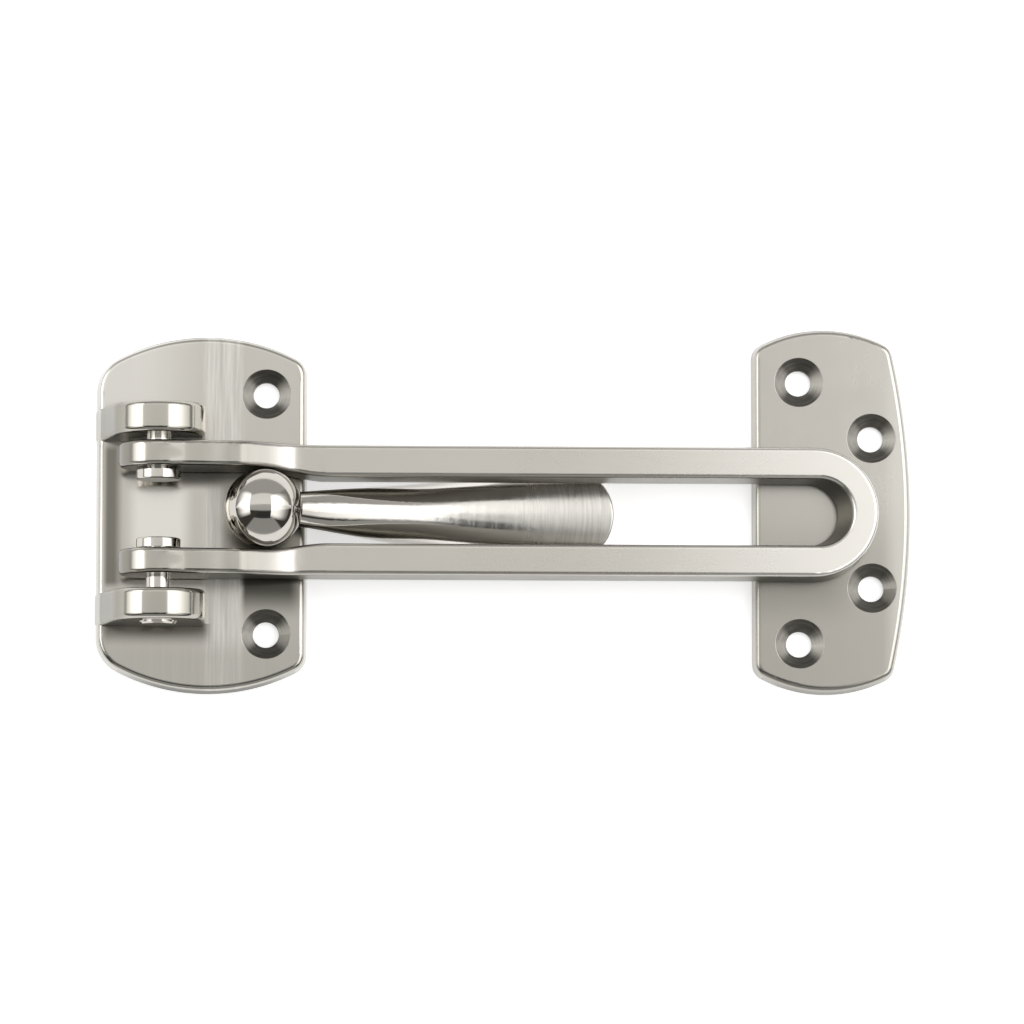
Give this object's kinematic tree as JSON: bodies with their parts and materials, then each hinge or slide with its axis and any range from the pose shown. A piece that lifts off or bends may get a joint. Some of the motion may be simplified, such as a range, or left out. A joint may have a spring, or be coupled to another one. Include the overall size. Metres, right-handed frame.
{
  "type": "door guard",
  "caption": "Swing-bar door guard: a U-shaped bar on a lugged frame plate, a ball and horn stud and a door plate.",
  "frame": {"origin": "foot of the pivot axis on the mounting plane, on the frame plate's back face", "axes": "+X along the closed bar towards the door plate, +Y along the pivot axis, +Z off the wall"},
  "size_m": [0.1332, 0.0602, 0.019],
  "materials": {
    "satin_nickel": "satin nickel plate, finely brushed",
    "satin_nickel_bar": "satin nickel plate, finely brushed along the bar",
    "polished_pin": "polished nickel plate",
    "stud_nickel": "nickel plate, ball polished, horn brushed round its axis"
  },
  "bodies": {
    "fixings": {"frame_plate": "satin_nickel", "upper_pivot_pin": "polished_pin", "lower_pivot_pin": "polished_pin", "ball_stud": "stud_nickel", "door_plate": "satin_nickel"},
    "bar": {"swing_bar": "satin_nickel_bar"}
  },
  "joints": [
    {"name": "bar_swing", "type": "hinge", "parent": "fixings", "child": "bar", "pos_m": [0, 0, 0.0098], "axis": [0, -1, 0], "range_deg": [0, 180]}
  ]
}
